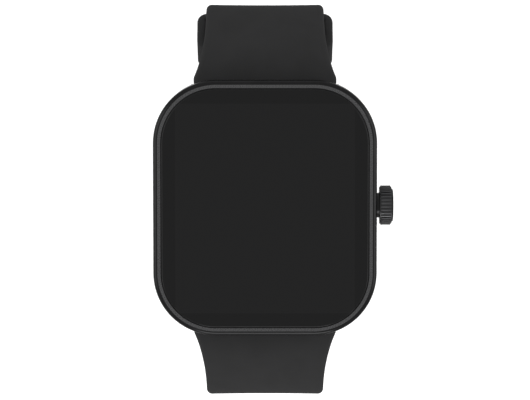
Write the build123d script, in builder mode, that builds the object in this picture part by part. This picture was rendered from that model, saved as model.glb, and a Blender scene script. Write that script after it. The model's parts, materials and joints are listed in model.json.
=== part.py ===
from build123d import *
import os
from math import acos, cos, degrees, radians, sin

# A rounded-rectangle smartwatch with a rotating, pressing crown and a two-piece rubber strap,
# buckled into a loop.  The origin is the middle of the flat face of the wrist sensor.
# +X points to the crown, +Y to twelve o'clock and +Z out of the display.

os.makedirs("parts", exist_ok=True)

# ---------------------------------------------------------------- driving dimensions, mm
CASE_W = 41.1
CASE_L = 46.9
CASE_R = 11.5
REAR_Z = 1.2            # wrist-side plane of the case
RING_Z = 10.3           # flat bevel ring around the glass
GLASS_TOP = 10.85
SIDE_BAND = 0.8         # curved side seen from the front
RING_W = 0.58
GLASS_GAP = 0.22
FIT = 0.05              # radial running clearance of pins and shafts
LOOSE = 0.25            # gap between soft pieces that slide on each other
OVERCUT = 1.0           # how far a cut runs on past the faces it opens

CROWN_Y = 0.25
CROWN_Z = 5.4
CROWN_R = 3.65
CROWN_TEETH = 36

BAR_Y = 21.0            # spring bar axis, from the middle of the case
BAR_Z = 3.4
STRAP_W = 22.2
STRAP_T = 2.4
SHOULDER_W = 26.5       # strap width where it meets the case
SHOULDER_END = 34.0     # where the flare has become the plain strap, along Y

LUG_HALF = 13.6         # half width of the strap recess in the case
LUG_TOP = 6.6
LUG_DEPTH = 17.9
BARREL_R = 1.6          # case barrels that hold the spring bar tips
KNUCKLE_R = 1.9

# side path of the strap: straight, bend, straight, round
LEAVE_DEG = 12.0
LEAVE_RUN = 5.0
BEND_R = 12.5
BEND_DEG = 80.0
SIDE_RUN = 5.5

PIN_POLAR = 12.0        # buckle pin, degrees round the loop from its lowest point
FRAME_POLAR = -4.0
FIXED_POLAR = 31.0
FREE_POLAR = 54.0
TAIL_POLAR = 66.0
STEP_R = 12.0           # radius of the two bends that lift the tail over the buckle pin
PIN_R = 0.75
BAR_TUBE_R = 0.75
HOLE_W = 2.2
HOLE_L = 3.2
HOLE_PITCH = 11.0       # degrees round the loop between adjustment holes


# ---------------------------------------------------------------- shared shapes
def outline(inset=0.0, mode=Mode.ADD):
    """Rounded rectangle of the case, drawn in by inset."""
    return RectangleRounded(CASE_W - 2 * inset, CASE_L - 2 * inset, CASE_R - inset, mode=mode)


def along_x(x, y=0.0, z=0.0):
    """Plane at (x, y, z) whose normal runs along +X and whose local x runs along +Y."""
    return Plane(origin=(x, y, z), x_dir=(0, 1, 0), z_dir=(1, 0, 0))


def save(piece, name):
    piece.part.label = name
    export_step(piece.part, f"parts/{name}.step")


def disc(plane, radius, thickness, mode=Mode.ADD):
    """Add or cut a disc that stands on a plane."""
    with BuildSketch(plane) as profile:
        Circle(radius)
    extrude(profile.sketch, amount=thickness, mode=mode)


def washer(plane, outer, inner, thickness):
    """Add a ring that stands on a plane."""
    with BuildSketch(plane) as profile:
        Circle(outer)
        Circle(inner, mode=Mode.SUBTRACT)
    extrude(profile.sketch, amount=thickness)


def block(x_range, y_range, z_range, corner=0.0, mode=Mode.ADD):
    """Add or cut a box between two corners, with rounded upright edges."""
    width = x_range[1] - x_range[0]
    length = y_range[1] - y_range[0]
    middle = ((x_range[0] + x_range[1]) / 2, (y_range[0] + y_range[1]) / 2)
    with BuildSketch(Plane.XY.offset(z_range[0])) as profile:
        with Locations(middle):
            if corner:
                RectangleRounded(width, length, corner)
            else:
                Rectangle(width, length)
    extrude(profile.sketch, amount=z_range[1] - z_range[0], mode=mode)


# ---------------------------------------------------------------- case frame
GLASS_SEAT_Z = 9.1
DISPLAY_FLOOR_Z = 7.2
CAVITY_W = 34.6
CAVITY_L = 32.0
CAVITY_R = 3.8
REAR_W = 36.6
REAR_L = 34.0
REAR_R = 5.0
REAR_T = 1.0
GASKET_T = 0.3
REBATE_Z = REAR_Z + REAR_T + GASKET_T
REBATE_GAP = 0.1
DISPLAY_W = 34.6
DISPLAY_L = 40.2
DISPLAY_R = 7.6
DISPLAY_GAP = 0.3
RING_INSET = SIDE_BAND + RING_W
TUBE_R = 1.7
COLLAR_R = 2.3
COLLAR_X = 19.75
CASE_SIDE_X = CASE_W / 2
BARREL_IN = STRAP_W / 2 + 0.2
TIP_R = 0.42
COLLAR_DEPTH = 0.4      # counterbore below the crown's collar
REAR_EDGE_R = 2.0
SPEAKER_Y = 11.2
SPEAKER_Z = 4.9
SOUND_SLOT_L = 5.0
SOUND_SLOT_W = 0.9
TIP_BORE_DEPTH = 0.6    # holes for the bar tips, past the ends of the recess

with BuildPart() as case_frame:
    with BuildSketch(Plane.XY.offset(REAR_Z)):
        outline()
    extrude(amount=RING_Z - REAR_Z)
    fillet(case_frame.faces().sort_by(Axis.Z)[0].edges(), radius=REAR_EDGE_R)
    fillet(case_frame.faces().sort_by(Axis.Z)[-1].edges(), radius=SIDE_BAND)
    with BuildSketch(Plane.XY.offset(GLASS_SEAT_Z)):
        outline(RING_INSET)
    extrude(amount=RING_Z, mode=Mode.SUBTRACT)
    with BuildSketch(Plane.XY.offset(DISPLAY_FLOOR_Z)):
        RectangleRounded(DISPLAY_W + 2 * DISPLAY_GAP, DISPLAY_L + 2 * DISPLAY_GAP, DISPLAY_R + DISPLAY_GAP)
    extrude(amount=GLASS_SEAT_Z - DISPLAY_FLOOR_Z, mode=Mode.SUBTRACT)
    with BuildSketch(Plane.XY.offset(REAR_Z)):
        RectangleRounded(CAVITY_W, CAVITY_L, CAVITY_R)
    extrude(amount=DISPLAY_FLOOR_Z - REAR_Z, mode=Mode.SUBTRACT)
    with BuildSketch(Plane.XY):
        RectangleRounded(REAR_W + 2 * REBATE_GAP, REAR_L + 2 * REBATE_GAP, REAR_R + REBATE_GAP)
    extrude(amount=REBATE_Z, mode=Mode.SUBTRACT)
    # strap recess at each end, open to the wrist side and outwards
    recess_l = CASE_L / 2 + OVERCUT - LUG_DEPTH
    with BuildSketch(Plane.XY):
        with Locations((0, LUG_DEPTH + recess_l / 2), (0, -LUG_DEPTH - recess_l / 2)):
            Rectangle(2 * LUG_HALF, recess_l)
    extrude(amount=LUG_TOP, mode=Mode.SUBTRACT)
    # barrels at the ends of each recess take the spring bar tips
    for side in (1, -1):
        for x in (BARREL_IN, -LUG_HALF):
            with BuildSketch(along_x(x, side * BAR_Y, BAR_Z)):
                Circle(BARREL_R)
            extrude(amount=LUG_HALF - BARREL_IN)
        with BuildSketch(along_x(-LUG_HALF - TIP_BORE_DEPTH, side * BAR_Y, BAR_Z)):
            Circle(TIP_R + FIT)
        extrude(amount=2 * (LUG_HALF + TIP_BORE_DEPTH), mode=Mode.SUBTRACT)
    # crown bore, with a counterbore for the collar
    with BuildSketch(along_x(CAVITY_W / 2 - OVERCUT, CROWN_Y, CROWN_Z)):
        Circle(TUBE_R)
    extrude(amount=CASE_SIDE_X, mode=Mode.SUBTRACT)
    with BuildSketch(along_x(COLLAR_X - COLLAR_DEPTH, CROWN_Y, CROWN_Z)):
        Circle(COLLAR_R + FIT)
    extrude(amount=CASE_SIDE_X, mode=Mode.SUBTRACT)
    # sound slot on the side away from the crown
    with BuildSketch(along_x(-CASE_SIDE_X - OVERCUT, SPEAKER_Y, SPEAKER_Z)):
        SlotOverall(SOUND_SLOT_L, SOUND_SLOT_W)
    extrude(amount=CASE_SIDE_X - CAVITY_W / 2 + 2 * OVERCUT, mode=Mode.SUBTRACT)
save(case_frame, "case_frame")


# ---------------------------------------------------------------- display stack
GLASS_INSET = RING_INSET + GLASS_GAP
GLASS_BASE = 9.4
GLASS_EDGE_R = 0.2
SEAL_W = 1.3
PANEL_T = 1.1
PANEL_Z = GLASS_BASE - PANEL_T
PLATE_T = 0.4
PLATE_INSET = 0.2
FLEX_T = 0.15
FLEX_W = 5.0
FLEX_X = 7.9
FLEX_TURN_Y = -12.1     # where the flex rises past the edge of the plate
FLEX_END_Y = -8.5
FLEX_TAIL = 1.1
FLEX_DROP = 0.4         # level of the flex's upper run below the panel
NOTCH_MIDDLE = (11.0, -12.2)
NOTCH_SIZE = (7.0, 3.0)
BOARD_TOP = 4.0

with BuildPart() as cover_glass:
    with BuildSketch(Plane.XY.offset(GLASS_BASE)):
        outline(GLASS_INSET)
    extrude(amount=GLASS_TOP - GLASS_BASE)
    fillet(cover_glass.faces().sort_by(Axis.Z)[-1].edges(), radius=GLASS_EDGE_R)
save(cover_glass, "cover_glass")

with BuildPart() as glass_gasket:
    with BuildSketch(Plane.XY.offset(GLASS_SEAT_Z)):
        outline(GLASS_INSET)
        outline(GLASS_INSET + SEAL_W, mode=Mode.SUBTRACT)
    extrude(amount=GLASS_BASE - GLASS_SEAT_Z)
save(glass_gasket, "glass_gasket")

with BuildPart() as display_panel:
    with BuildSketch(Plane.XY.offset(PANEL_Z)):
        RectangleRounded(DISPLAY_W, DISPLAY_L, DISPLAY_R)
    extrude(amount=PANEL_T)
save(display_panel, "display_panel")

with BuildPart() as display_plate:
    with BuildSketch(Plane.XY.offset(DISPLAY_FLOOR_Z)):
        RectangleRounded(DISPLAY_W - 2 * PLATE_INSET, DISPLAY_L - 2 * PLATE_INSET, DISPLAY_R)
        with Locations(NOTCH_MIDDLE):
            Rectangle(*NOTCH_SIZE, mode=Mode.SUBTRACT)
    extrude(amount=PLATE_T)
save(display_plate, "display_plate")

with BuildPart() as display_flex:
    board_level = BOARD_TOP + FLEX_T / 2
    run_level = PANEL_Z - FLEX_DROP
    with BuildSketch(along_x(FLEX_X)):
        with BuildLine():
            Polyline(
                (FLEX_TURN_Y + FLEX_TAIL, board_level),
                (FLEX_TURN_Y, board_level),
                (FLEX_TURN_Y, run_level),
                (FLEX_END_Y, run_level),
                (FLEX_END_Y, PANEL_Z),
            )
        trace(line_width=FLEX_T)
    extrude(amount=FLEX_W)
save(display_flex, "display_flex")


# ---------------------------------------------------------------- rear cover and wrist sensor
WINDOW_R = 12.1
WINDOW_TOP = 1.9
SEAT_R = 11.3
CONTACT_R = 1.1
CONTACT_X = 2.7
CONTACT_Y = -14.6
CONTACT_PROUD = 0.05
MAGNET_X = 7.4
MAGNET_Y = -14.1
MAGNET_R = 1.5
MAGNET_T = 0.7
REAR_SEAL_INSET = 0.1
WINDOW_GAP = 0.14
WINDOW_WALL = 1.6
WINDOW_T = 0.9
WINDOW_EDGE_R = 1.0
SENSOR_BOARD_Z = REAR_Z + REAR_T
SENSOR_BOARD_R = 11.7
SENSOR_BOARD_T = 0.6
BARRIER_Z = WINDOW_T + FIT
BARRIER_R = 5.2
BARRIER_BORE_R = 4.6
EMITTER_T = 0.7
EMITTER_SIZE = (1.6, 1.2)
EMITTER_PITCH = (3.2, 2.6)
DIODE_T = 0.5
DIODE_SIZE = (2.4, 2.8)
DIODE_RING_R = 7.5
DIODES = 4

with BuildPart() as rear_cover:
    with BuildSketch(Plane.XY.offset(REAR_Z)):
        RectangleRounded(REAR_W, REAR_L, REAR_R)
        Circle(SEAT_R, mode=Mode.SUBTRACT)
        with Locations((CONTACT_X, CONTACT_Y), (-CONTACT_X, CONTACT_Y)):
            Circle(CONTACT_R, mode=Mode.SUBTRACT)
    extrude(amount=REAR_T)
    with BuildSketch(Plane.XY.offset(REAR_Z)):
        Circle(WINDOW_R + WINDOW_GAP)
    extrude(amount=WINDOW_TOP - REAR_Z, mode=Mode.SUBTRACT)
save(rear_cover, "rear_cover")

with BuildPart() as rear_gasket:
    with BuildSketch(Plane.XY.offset(REAR_Z + REAR_T)):
        RectangleRounded(REAR_W - 2 * REAR_SEAL_INSET, REAR_L - 2 * REAR_SEAL_INSET, REAR_R - REAR_SEAL_INSET)
        RectangleRounded(
            CAVITY_W + 2 * REAR_SEAL_INSET, CAVITY_L + 2 * REAR_SEAL_INSET, CAVITY_R, mode=Mode.SUBTRACT
        )
    extrude(amount=GASKET_T)
save(rear_gasket, "rear_gasket")

with BuildPart() as sensor_window:
    disc(Plane.XY, WINDOW_R, WINDOW_TOP)
    fillet(sensor_window.faces().sort_by(Axis.Z)[0].edges(), radius=WINDOW_EDGE_R)
    with BuildSketch(Plane.XY.offset(WINDOW_T)):
        Circle(WINDOW_R - WINDOW_WALL)
    extrude(amount=WINDOW_TOP, mode=Mode.SUBTRACT)
save(sensor_window, "sensor_window")

with BuildPart() as sensor_board:
    disc(Plane.XY.offset(SENSOR_BOARD_Z), SENSOR_BOARD_R, SENSOR_BOARD_T)
save(sensor_board, "sensor_board")

with BuildPart() as optical_barrier:
    washer(Plane.XY.offset(BARRIER_Z), BARRIER_R, BARRIER_BORE_R, SENSOR_BOARD_Z - BARRIER_Z)
save(optical_barrier, "optical_barrier")

with BuildPart() as ppg_emitters:
    with BuildSketch(Plane.XY.offset(SENSOR_BOARD_Z - EMITTER_T)):
        with GridLocations(*EMITTER_PITCH, 2, 2):
            Rectangle(*EMITTER_SIZE)
    extrude(amount=EMITTER_T)
save(ppg_emitters, "ppg_emitters")

with BuildPart() as photodiodes:
    with BuildSketch(Plane.XY.offset(SENSOR_BOARD_Z - DIODE_T)):
        with PolarLocations(DIODE_RING_R, DIODES, start_angle=180 / DIODES):
            Rectangle(*DIODE_SIZE)
    extrude(amount=DIODE_T)
save(photodiodes, "photodiodes")

with BuildPart() as charging_contacts:
    with BuildSketch(Plane.XY.offset(REAR_Z - CONTACT_PROUD)):
        with Locations((CONTACT_X, CONTACT_Y), (-CONTACT_X, CONTACT_Y)):
            Circle(CONTACT_R)
    extrude(amount=REAR_T + GASKET_T)
save(charging_contacts, "charging_contacts")

with BuildPart() as charging_magnets:
    with BuildSketch(Plane.XY.offset(SENSOR_BOARD_Z)):
        with Locations((MAGNET_X, MAGNET_Y), (-MAGNET_X, MAGNET_Y)):
            Circle(MAGNET_R)
    extrude(amount=MAGNET_T)
save(charging_magnets, "charging_magnets")


# ---------------------------------------------------------------- inner chassis and electronics
CHASSIS_Z = 2.95
CHASSIS_FLOOR = 0.4
CHASSIS_TOP = 7.1
CHASSIS_GAP = 0.1
CHASSIS_WALL = 0.7
CHASSIS_HOLE_R = 4.0
CUT_GAP = 0.1
SCREW_R = 0.7
SCREW_HEAD_R = 1.1
SCREW_HEAD_T = 0.5
SOCKET_R = 0.45
SCREW_SPOTS = ((6.9, 13.3), (14.0, 13.3), (6.9, -13.4), (14.0, -13.4))
BOARD_Z = CHASSIS_Z + CHASSIS_FLOOR + 0.05
TUBE_IN_X = 15.6
INSIDE_TOP = 6.7        # top of the tallest parts, clear of the display plate
BATTERY_X = (-16.2, 4.8)
BATTERY_Y = (-14.8, 7.4)
BATTERY_CORNER = 2.7
BATTERY_EDGE_R = 0.4
BOARD_X = (5.4, 15.4)
BOARD_Y = (-14.9, 14.8)
BOARD_CORNER = 1.6
CAN_X = (6.2, 15.4)
CAN_Y = (-10.4, -3.2)
CAN_TOP = 5.5
CAN_CORNER = 0.5
CAN_WALL = 0.2
MICROPHONE_X = (6.0, 8.8)
MICROPHONE_Y = (3.6, 5.6)
MICROPHONE_T = 1.0
SPEAKER_X = (-16.2, -4.6)
SPEAKER_HALF_L = 2.8
SPEAKER_TOP = 6.6
SPEAKER_CORNER = 0.9
SPEAKER_EDGE_R = 0.3
ANTENNA_HALF = 12.5
ANTENNA_Y = (14.95, 15.1)
ANTENNA_TOP = 6.8

with BuildPart() as inner_chassis:
    with BuildSketch(Plane.XY.offset(CHASSIS_Z)):
        RectangleRounded(CAVITY_W - 2 * CHASSIS_GAP, CAVITY_L - 2 * CHASSIS_GAP, CAVITY_R - CHASSIS_GAP)
    extrude(amount=CHASSIS_TOP - CHASSIS_Z)
    inner_inset = CHASSIS_GAP + CHASSIS_WALL
    with BuildSketch(Plane.XY.offset(CHASSIS_Z + CHASSIS_FLOOR)):
        RectangleRounded(CAVITY_W - 2 * inner_inset, CAVITY_L - 2 * inner_inset, CAVITY_R - inner_inset)
    extrude(amount=CHASSIS_TOP, mode=Mode.SUBTRACT)
    with BuildSketch(Plane.XY.offset(CHASSIS_Z)):
        Circle(CHASSIS_HOLE_R)
        with Locations(*SCREW_SPOTS):
            Circle(SCREW_R + FIT)
    extrude(amount=CHASSIS_FLOOR, mode=Mode.SUBTRACT)
    # the crown tube and the sound slot pass through the side walls
    with BuildSketch(along_x(TUBE_IN_X, CROWN_Y, CROWN_Z)):
        Circle(TUBE_R + CUT_GAP)
        with Locations((0, CROWN_Z)):
            Rectangle(2 * (TUBE_R + CUT_GAP), 2 * CROWN_Z)
    extrude(amount=CAVITY_W / 2 - TUBE_IN_X + OVERCUT, mode=Mode.SUBTRACT)
    with BuildSketch(along_x(-CAVITY_W / 2, SPEAKER_Y, SPEAKER_Z)):
        SlotOverall(SOUND_SLOT_L, SOUND_SLOT_W)
    extrude(amount=CHASSIS_GAP + CHASSIS_WALL + OVERCUT, mode=Mode.SUBTRACT)
save(inner_chassis, "inner_chassis")

with BuildPart() as battery:
    block(BATTERY_X, BATTERY_Y, (BOARD_Z, INSIDE_TOP), corner=BATTERY_CORNER)
    fillet(battery.faces().sort_by(Axis.Z)[-1].edges(), radius=BATTERY_EDGE_R)
save(battery, "battery")

with BuildPart() as mainboard:
    block(BOARD_X, BOARD_Y, (BOARD_Z, BOARD_TOP), corner=BOARD_CORNER)
    with BuildSketch(Plane.XY.offset(BOARD_Z)):
        with Locations(*SCREW_SPOTS):
            Circle(SCREW_R + FIT)
    extrude(amount=OVERCUT, mode=Mode.SUBTRACT)
save(mainboard, "mainboard")

with BuildPart() as shield_can:
    block(CAN_X, CAN_Y, (BOARD_TOP, CAN_TOP), corner=CAN_CORNER)
    inside_x = (CAN_X[0] + CAN_WALL, CAN_X[1] - CAN_WALL)
    inside_y = (CAN_Y[0] + CAN_WALL, CAN_Y[1] - CAN_WALL)
    block(inside_x, inside_y, (BOARD_TOP, CAN_TOP - CAN_WALL), mode=Mode.SUBTRACT)
save(shield_can, "shield_can")

with BuildPart() as board_screws:
    with BuildSketch(Plane.XY.offset(BOARD_TOP)):
        with Locations(*SCREW_SPOTS):
            Circle(SCREW_HEAD_R)
    extrude(amount=SCREW_HEAD_T)
    with BuildSketch(Plane.XY.offset(CHASSIS_Z)):
        with Locations(*SCREW_SPOTS):
            Circle(SCREW_R)
    extrude(amount=BOARD_TOP - CHASSIS_Z)
    with BuildSketch(Plane.XY.offset(BOARD_TOP + SCREW_HEAD_T / 2)):
        with Locations(*SCREW_SPOTS):
            RegularPolygon(SOCKET_R, 6)
    extrude(amount=SCREW_HEAD_T / 2, mode=Mode.SUBTRACT)
save(board_screws, "board_screws")

with BuildPart() as microphone:
    block(MICROPHONE_X, MICROPHONE_Y, (BOARD_TOP, BOARD_TOP + MICROPHONE_T))
save(microphone, "microphone")

with BuildPart() as speaker:
    speaker_y = (SPEAKER_Y - SPEAKER_HALF_L, SPEAKER_Y + SPEAKER_HALF_L)
    block(SPEAKER_X, speaker_y, (BOARD_Z, SPEAKER_TOP), corner=SPEAKER_CORNER)
    fillet(speaker.faces().sort_by(Axis.Z)[-1].edges(), radius=SPEAKER_EDGE_R)
save(speaker, "speaker")

with BuildPart() as antenna:
    block((-ANTENNA_HALF, ANTENNA_HALF), ANTENNA_Y, (BOARD_Z, ANTENNA_TOP))
save(antenna, "antenna")

MOTOR_X = 0.4
MOTOR_Y = 11.2
MOTOR_R = 3.3
MOTOR_TOP = 6.5
MOTOR_WALL = 0.25
MASS_T = 1.4
MASS_GAP = 0.15


def motor_plane(z):
    return Plane(origin=(MOTOR_X, MOTOR_Y, z))


with BuildPart() as motor_case:
    disc(motor_plane(BOARD_Z), MOTOR_R, MOTOR_TOP - BOARD_Z)
    hollow = MOTOR_TOP - BOARD_Z - 2 * MOTOR_WALL
    disc(motor_plane(BOARD_Z + MOTOR_WALL), MOTOR_R - MOTOR_WALL, hollow, mode=Mode.SUBTRACT)
save(motor_case, "motor_case")

with BuildPart() as motor_mass:
    disc(motor_plane((BOARD_Z + MOTOR_TOP - MASS_T) / 2), MOTOR_R - MOTOR_WALL - MASS_GAP, MASS_T)
save(motor_mass, "motor_mass")


# ---------------------------------------------------------------- crown train
STEM_R = 0.8
HEAD_IN_X = CASE_SIDE_X + 0.6
HEAD_OUT_X = HEAD_IN_X + 2.2
CAP_OUT_X = HEAD_OUT_X + 0.3
CAP_R = 3.05
CAP_SEAT = 0.35
CAP_EDGE_R = 0.28
TOOTH_DEPTH = 0.22
TOOTH_W = 0.36
TOOTH_CORNER = 0.12
TOOTH_END = 0.2         # plain rim at each end of the ridges
HUB_R = 1.25
HUB_L = 1.2
TUBE_OUT_X = 19.3
LIP_X = 16.4
RING_R = 0.93
RING_SECTION = 0.24
CLIP_X = 15.0
CLIP_T = 0.4
CLIP_R = 1.3
CLIP_MOUTH = 0.9
GROOVE_DEPTH = 0.2
GROOVE_PLAY = 0.1
RING_BORE_GAP = 0.04
WHEEL_X = 13.0
WHEEL_T = 1.4
WHEEL_R = 1.2
STEM_IN_X = 12.45
THRUST_X = 12.05
SWITCH_X = 10.0
SWITCH_TOP_X = 11.4
SWITCH_HALF_W = 1.7
DOME_R = 1.6
SENSOR_X = (12.8, 14.4)
SENSOR_Y = (2.2, 3.2)
SENSOR_TOP = 6.2
RING_GROOVES = (LIP_X + 0.5, LIP_X + 1.5)


CROWN_AXIS = Axis((0, CROWN_Y, CROWN_Z), (1, 0, 0))


def on_crown(x):
    """Plane across the crown's axis at x."""
    return along_x(x, CROWN_Y, CROWN_Z)


def beside_crown(x):
    """Plane through the crown's axis, with its local x along the axis and its origin at x."""
    return Plane(origin=(x, CROWN_Y, CROWN_Z), x_dir=(1, 0, 0), z_dir=(0, -1, 0))


with BuildPart() as crown_head:
    disc(on_crown(HEAD_IN_X), CROWN_R - TOOTH_DEPTH, HEAD_OUT_X - HEAD_IN_X)
    with BuildSketch(on_crown(HEAD_IN_X + TOOTH_END)):
        with PolarLocations(CROWN_R - TOOTH_DEPTH, CROWN_TEETH):
            RectangleRounded(2 * TOOTH_DEPTH, TOOTH_W, TOOTH_CORNER)
    extrude(amount=HEAD_OUT_X - HEAD_IN_X - 2 * TOOTH_END)
    disc(on_crown(HEAD_OUT_X - CAP_SEAT), CAP_R, OVERCUT, mode=Mode.SUBTRACT)
    disc(on_crown(HEAD_IN_X), HUB_R, HUB_L, mode=Mode.SUBTRACT)
save(crown_head, "crown_head")

with BuildPart() as crown_cap:
    disc(on_crown(HEAD_OUT_X - CAP_SEAT), CAP_R, CAP_OUT_X - HEAD_OUT_X + CAP_SEAT)
    fillet(crown_cap.faces().sort_by(Axis.X)[-1].edges(), radius=CAP_EDGE_R)
save(crown_cap, "crown_cap")

with BuildPart() as crown_stem:
    disc(on_crown(STEM_IN_X), STEM_R, COLLAR_X - STEM_IN_X)
    disc(on_crown(COLLAR_X), COLLAR_R, HEAD_IN_X - COLLAR_X)
    disc(on_crown(HEAD_IN_X), HUB_R, HUB_L)
    # grooves for the two sealing rings and for the retaining clip
    for x in RING_GROOVES:
        with BuildSketch(on_crown(x)):
            Circle(STEM_R)
            Circle(RING_R - RING_SECTION, mode=Mode.SUBTRACT)
        extrude(amount=2 * RING_SECTION + GROOVE_PLAY, mode=Mode.SUBTRACT)
    with BuildSketch(on_crown(CLIP_X)):
        Circle(STEM_R)
        Circle(STEM_R - GROOVE_DEPTH, mode=Mode.SUBTRACT)
    extrude(amount=CLIP_T, mode=Mode.SUBTRACT)
save(crown_stem, "crown_stem")

with BuildPart() as crown_rings:
    for x in RING_GROOVES:
        with BuildSketch(beside_crown(x + RING_SECTION + GROOVE_PLAY / 2)):
            with Locations((0, RING_R)):
                Circle(RING_SECTION)
        revolve(axis=CROWN_AXIS)
save(crown_rings, "crown_rings")

with BuildPart() as crown_clip:
    with BuildSketch(on_crown(CLIP_X)):
        Circle(CLIP_R)
        Circle(STEM_R - GROOVE_DEPTH, mode=Mode.SUBTRACT)
        with Locations((0, CLIP_R)):
            Rectangle(CLIP_MOUTH, 2 * CLIP_R, mode=Mode.SUBTRACT)
    extrude(amount=CLIP_T)
save(crown_clip, "crown_clip")

with BuildPart() as encoder_wheel:
    washer(on_crown(WHEEL_X), WHEEL_R, STEM_R, WHEEL_T)
save(encoder_wheel, "encoder_wheel")

with BuildPart() as crown_tube:
    disc(on_crown(TUBE_IN_X), TUBE_R, TUBE_OUT_X - TUBE_IN_X)
    disc(on_crown(LIP_X), RING_R + RING_SECTION + RING_BORE_GAP, TUBE_OUT_X, mode=Mode.SUBTRACT)
    disc(on_crown(TUBE_IN_X), STEM_R + FIT, TUBE_OUT_X, mode=Mode.SUBTRACT)
save(crown_tube, "crown_tube")

with BuildPart() as thrust_plate:
    disc(on_crown(THRUST_X), WHEEL_R, STEM_IN_X - THRUST_X)
save(thrust_plate, "thrust_plate")

with BuildPart() as switch_dome:
    with BuildSketch(beside_crown(SWITCH_TOP_X)):
        with BuildLine():
            Line((0, 0), (THRUST_X - SWITCH_TOP_X, 0))
            RadiusArc((THRUST_X - SWITCH_TOP_X, 0), (0, WHEEL_R), -DOME_R)
            Line((0, WHEEL_R), (0, 0))
        make_face()
    revolve(axis=CROWN_AXIS)
save(switch_dome, "switch_dome")

with BuildPart() as crown_switch:
    switch_y = (CROWN_Y - SWITCH_HALF_W, CROWN_Y + SWITCH_HALF_W)
    block((SWITCH_X, SWITCH_TOP_X), switch_y, (BOARD_TOP, CHASSIS_TOP))
save(crown_switch, "crown_switch")

with BuildPart() as encoder_sensor:
    block(SENSOR_X, SENSOR_Y, (BOARD_TOP, SENSOR_TOP))
save(encoder_sensor, "encoder_sensor")


# ---------------------------------------------------------------- strap loop, seen along X
# The strap leaves the spring bar, bends down, runs straight and then follows a round loop.
# A place on the round is given by its polar angle from the lowest point, positive towards +Y.
DOWN_DEG = LEAVE_DEG + BEND_DEG
LEAVE_END = (BAR_Y + LEAVE_RUN * cos(radians(LEAVE_DEG)), BAR_Z - LEAVE_RUN * sin(radians(LEAVE_DEG)))
BEND_Y = LEAVE_END[0] - BEND_R * sin(radians(LEAVE_DEG))
BEND_Z = LEAVE_END[1] - BEND_R * cos(radians(LEAVE_DEG))


def bend_point(angle):
    return (BEND_Y + BEND_R * sin(radians(angle)), BEND_Z + BEND_R * cos(radians(angle)))


BEND_END = bend_point(DOWN_DEG)
SIDE_END = (BEND_END[0] + SIDE_RUN * cos(radians(DOWN_DEG)), BEND_END[1] - SIDE_RUN * sin(radians(DOWN_DEG)))
LOOP_R = SIDE_END[0] / sin(radians(DOWN_DEG))
LOOP_Z = SIDE_END[1] - LOOP_R * cos(radians(DOWN_DEG))
LAYER = STRAP_T + LOOSE
ROUND_POLAR = 180 - DOWN_DEG
HALF_T = STRAP_T / 2
LOOP_AXIS = Axis((0, 0, LOOP_Z), (1, 0, 0))


def loop_point(polar, radius=LOOP_R):
    return (radius * sin(radians(polar)), LOOP_Z - radius * cos(radians(polar)))


def loop_arc(start, end, radius=LOOP_R):
    """Arc of the round between two polar angles."""
    ThreePointArc(loop_point(start, radius), loop_point((start + end) / 2, radius), loop_point(end, radius))


def arc_about(start, end, centre, radius):
    """Short arc from start to end about a known centre."""
    mid = Vector(*start) + Vector(*end) - Vector(*centre) * 2
    middle = Vector(*centre) + mid.normalized() * radius
    ThreePointArc(start, (middle.X, middle.Y), end)


def radial_plane(polar, radius):
    """Plane on the round whose normal points outwards and whose local x runs along the strap."""
    y, z = loop_point(polar, radius)
    turn = radians(polar)
    return Plane(origin=(0, y, z), x_dir=(0, cos(turn), sin(turn)), z_dir=(0, sin(turn), -cos(turn)))


def strap_start():
    """Path from the spring bar to the top of the round."""
    Line((BAR_Y, BAR_Z), LEAVE_END)
    ThreePointArc(LEAVE_END, bend_point(LEAVE_DEG + BEND_DEG / 2), BEND_END)
    Line(BEND_END, SIDE_END)


# The lower strap is drawn in a plane turned to its own side, so its polar angles change sign.
# Two equal bends lift it from the inner layer to the outer one.
STEP_LEAD = 0.5         # degrees before the buckle's bar where the step starts
STEP_START = -FRAME_POLAR - STEP_LEAD
STEP_FAR = LOOP_R + STEP_R
STEP_NEAR = LOOP_R + LAYER - STEP_R
STEP_TURN = degrees(acos((STEP_FAR**2 + STEP_NEAR**2 - (2 * STEP_R)**2) / (2 * STEP_FAR * STEP_NEAR)))
STEP_END = STEP_START - STEP_TURN


def lower_path():
    """Path of the lower strap: round, step over the buckle pin, then the tail."""
    strap_start()
    loop_arc(ROUND_POLAR, STEP_START)
    far = loop_point(STEP_START, STEP_FAR)
    near = loop_point(STEP_END, STEP_NEAR)
    middle = ((far[0] + near[0]) / 2, (far[1] + near[1]) / 2)
    arc_about(loop_point(STEP_START), middle, far, STEP_R)
    arc_about(middle, loop_point(STEP_END, LOOP_R + LAYER), near, STEP_R)
    loop_arc(STEP_END, -TAIL_POLAR, LOOP_R + LAYER)


def upper_path():
    """Path of the upper strap: round to the buckle pin."""
    strap_start()
    loop_arc(ROUND_POLAR, PIN_POLAR)


SHOULDER_Y = 22.2
FLARE_Y = 23.6
FLARE_DEPTH = 14.0
LEVER_X = 6.2
LEVER_TRAVEL = 1.4
LEVER_SLOT_END = 1.1    # from the lever's middle to the end of its slot in the strap
LEVER_SLOT_HALF = 0.95
SIDES = {"upper": 1, "lower": -1}


def side_plane(side):
    """Plane through the middle of the strap, with its local x pointing away from the case."""
    return Plane(origin=(0, 0, 0), x_dir=(0, side, 0), z_dir=(side, 0, 0))


def strap_profile(side, path):
    """Side view of one strap, with its knuckle round the spring bar."""
    with BuildSketch(side_plane(side)) as profile:
        with BuildLine():
            path()
        trace(line_width=STRAP_T)
        with Locations((BAR_Y, BAR_Z)):
            Circle(KNUCKLE_R)
    return profile.sketch


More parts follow.
